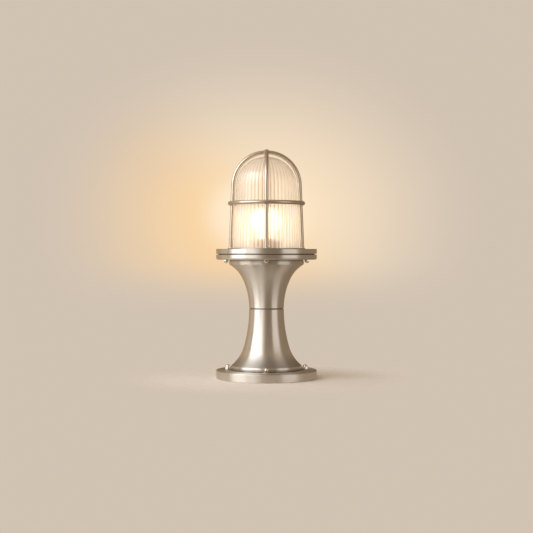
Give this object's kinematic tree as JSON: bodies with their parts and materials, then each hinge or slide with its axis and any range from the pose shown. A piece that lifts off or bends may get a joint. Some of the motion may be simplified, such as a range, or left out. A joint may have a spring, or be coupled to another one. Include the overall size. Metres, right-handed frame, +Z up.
{
  "type": "post lantern",
  "caption": "Post lantern with a round base, a waisted column, and a fluted glass globe in a rod guard over a lamp.",
  "frame": {"origin": "centre of the base's underside, on the ground", "axes": "+Z up along the column, -Y to the front leg of the guard"},
  "size_m": [0.16, 0.16, 0.3636],
  "materials": {
    "nickel": "satin nickel, lathe-brushed",
    "guard_nickel": "satin nickel, brushed along the rod",
    "steel": "zinc plated",
    "brass": "turned",
    "rubber": "matt black",
    "ceramic": "white glaze",
    "globe_glass": "clear, fluted inside",
    "bulb_glass": "opal, lit",
    "mount_glass": "clear",
    "cap_metal": "rolled thread",
    "cap_insulator": "black",
    "filament": "phosphor coated",
    "live_cover": "brown lead cover",
    "neutral_cover": "blue lead cover",
    "earth_cover": "green lead cover"
  },
  "bodies": {
    "column": {"ground_plate": "steel", "ground_studs": "steel", "base_disc": "nickel", "dome_nut_washers": "steel", "dome_nuts": "nickel", "base_seal": "rubber", "foot_screws": "steel", "gland_body": "brass", "gland_seal": "rubber", "gland_cap": "brass", "terminal_block": "ceramic", "terminal_screws": "brass", "block_screws": "steel", "earth_screw": "brass", "lead_live": "live_cover", "lead_neutral": "neutral_cover", "lead_earth": "earth_cover", "lower_column": "nickel", "waist_seal": "rubber", "upper_column": "nickel", "stem_tube": "brass", "stem_washers": "steel", "stem_nuts": "brass", "rim_seal": "rubber", "rim_screws": "steel", "gallery_plate": "nickel", "flange_screws": "nickel", "flange_seal": "rubber", "holder_bush": "brass", "holder_base": "ceramic", "holder_skirt": "ceramic", "holder_shell": "brass", "holder_contact": "brass", "holder_terminals": "brass", "holder_screws": "steel"},
    "guard": {"guard_ring": "nickel", "guard_front_arch": "guard_nickel", "guard_side_arches": "guard_nickel", "guard_hoop": "guard_nickel", "globe_wall": "globe_glass", "globe_shoulder": "globe_glass", "globe_apex": "globe_glass", "globe_seal": "rubber", "keep_ring": "steel", "keep_screws": "steel"},
    "lamp_tip": {"lamp_tip": "cap_metal"},
    "lamp": {"lamp_insulator": "cap_insulator", "lamp_cap": "cap_metal", "lamp_bulb": "bulb_glass", "lamp_stem": "mount_glass", "lamp_filaments": "filament"}
  },
  "joints": [
    {"name": "guard_lift", "type": "slide", "parent": "column", "child": "guard", "axis": [0, 0, 1], "range_m": [0, 0.12]},
    {"name": "lamp_rise", "type": "slide", "parent": "column", "child": "lamp_tip", "axis": [0, 0, 1], "range_m": [0, 0.0182]},
    {"name": "lamp_turn", "type": "hinge", "parent": "lamp_tip", "child": "lamp", "pos_m": [0, 0, 0.1942], "axis": [0, 0, 1], "range_deg": [0, 1800]}
  ],
  "couplings": [
    {"joint": "lamp_rise", "follows": "lamp_turn", "m_per_rad": 0.00057757}
  ]
}
